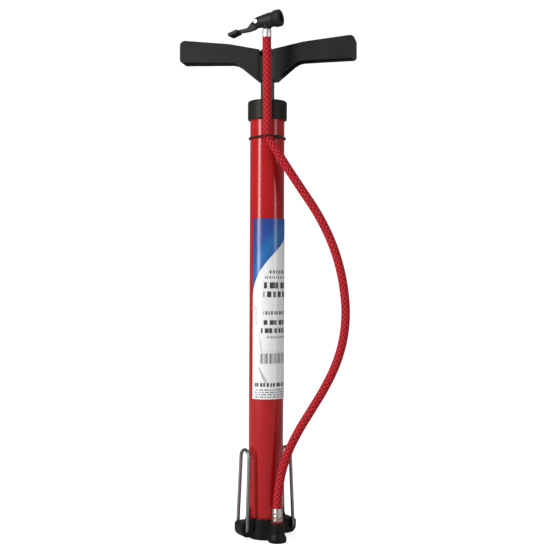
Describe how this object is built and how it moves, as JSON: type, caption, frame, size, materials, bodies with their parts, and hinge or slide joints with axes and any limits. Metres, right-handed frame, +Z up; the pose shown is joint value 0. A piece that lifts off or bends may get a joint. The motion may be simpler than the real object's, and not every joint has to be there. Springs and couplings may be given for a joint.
{
  "type": "hand pump",
  "caption": "Upright hand pump with a red barrel, black T-handle, folding wire foot stirrups and a braided hose with a thumb-lever chuck.",
  "frame": {"origin": "on the barrel's axis, on the surface that the base stands on", "axes": "+Z up along the barrel, X along the handle at rest, -Y towards the stored hose"},
  "size_m": [0.1808, 0.0692, 0.5294],
  "materials": {
    "black_plastic": "fine satin moulding",
    "red_paint": "gloss enamel",
    "bright_steel": "bright zinc or nickel plate",
    "grey_steel": "plated tube",
    "brass": "turned",
    "black_rubber": "moulded",
    "red_fibre": "plain",
    "label_paper": "printed gloss film",
    "hose_braid": "woven cover over a rubber hose",
    "white_nylon": "moulded"
  },
  "bodies": {
    "stand": {"base_body": "black_plastic", "base_gasket": "black_rubber", "barrel_tube": "red_paint", "barrel_label": "label_paper", "top_cap": "black_plastic", "rod_bush": "white_nylon", "stop_washer": "black_rubber", "outlet_washer": "red_fibre", "hose_barb": "brass", "lower_ferrule": "bright_steel", "hose": "hose_braid", "upper_ferrule": "bright_steel", "hose_tie": "black_plastic", "chuck_body": "black_plastic", "chuck_collar": "black_plastic", "chuck_gasket": "black_rubber", "lever_pin": "bright_steel"},
    "piston": {"piston_cup": "black_rubber", "piston_disc": "white_nylon"},
    "rod_and_handle": {"pump_rod": "grey_steel", "handle": "black_plastic", "handle_washer": "bright_steel", "handle_nut": "bright_steel", "piston_nut": "bright_steel", "lower_washer": "bright_steel", "upper_washer": "bright_steel"},
    "left_stirrup": {"left_stirrup": "bright_steel"},
    "right_stirrup": {"right_stirrup": "bright_steel"},
    "check_ball": {"check_ball": "bright_steel", "check_spring": "bright_steel"},
    "chuck_lever": {"chuck_lever": "black_plastic"},
    "chuck_plunger": {"chuck_plunger": "white_nylon"}
  },
  "joints": [
    {"name": "piston_slide", "type": "slide", "parent": "stand", "child": "piston", "axis": [0, 0, 1], "range_m": [0, 0.4]},
    {"name": "handle_swivel", "type": "hinge", "parent": "piston", "child": "rod_and_handle", "pos_m": [0, 0, 0.444], "axis": [0, 0, 1], "range_deg": [-30, 8]},
    {"name": "right_stirrup_fold", "type": "hinge", "parent": "stand", "child": "right_stirrup", "pos_m": [0.02052, 0.01661, 0.01], "axis": [-0.6293, 0.7771, 0], "range_deg": [0, 95]},
    {"name": "left_stirrup_fold", "type": "hinge", "parent": "stand", "child": "left_stirrup", "pos_m": [-0.02052, -0.01661, 0.01], "axis": [0.6293, -0.7771, 0], "range_deg": [0, 95]},
    {"name": "check_valve", "type": "slide", "parent": "stand", "child": "check_ball", "axis": [0, 0, 1], "range_m": [0, 0.0012], "stiffness_N_per_m": 60, "springref_m": -0.001, "deforming": ["check_spring"]},
    {"name": "lever_flip", "type": "hinge", "parent": "stand", "child": "chuck_lever", "pos_m": [-0.00416, -0.0296, 0.51813], "axis": [0.2079, 0.9781, 0], "range_deg": [0, 90]},
    {"name": "plunger_slide", "type": "slide", "parent": "stand", "child": "chuck_plunger", "axis": [-0.9709, 0.2064, -0.1219], "range_m": [0, 0.0012]}
  ],
  "couplings": [
    {"joint": "plunger_slide", "follows": "lever_flip", "m_per_rad": 0.00076}
  ]
}
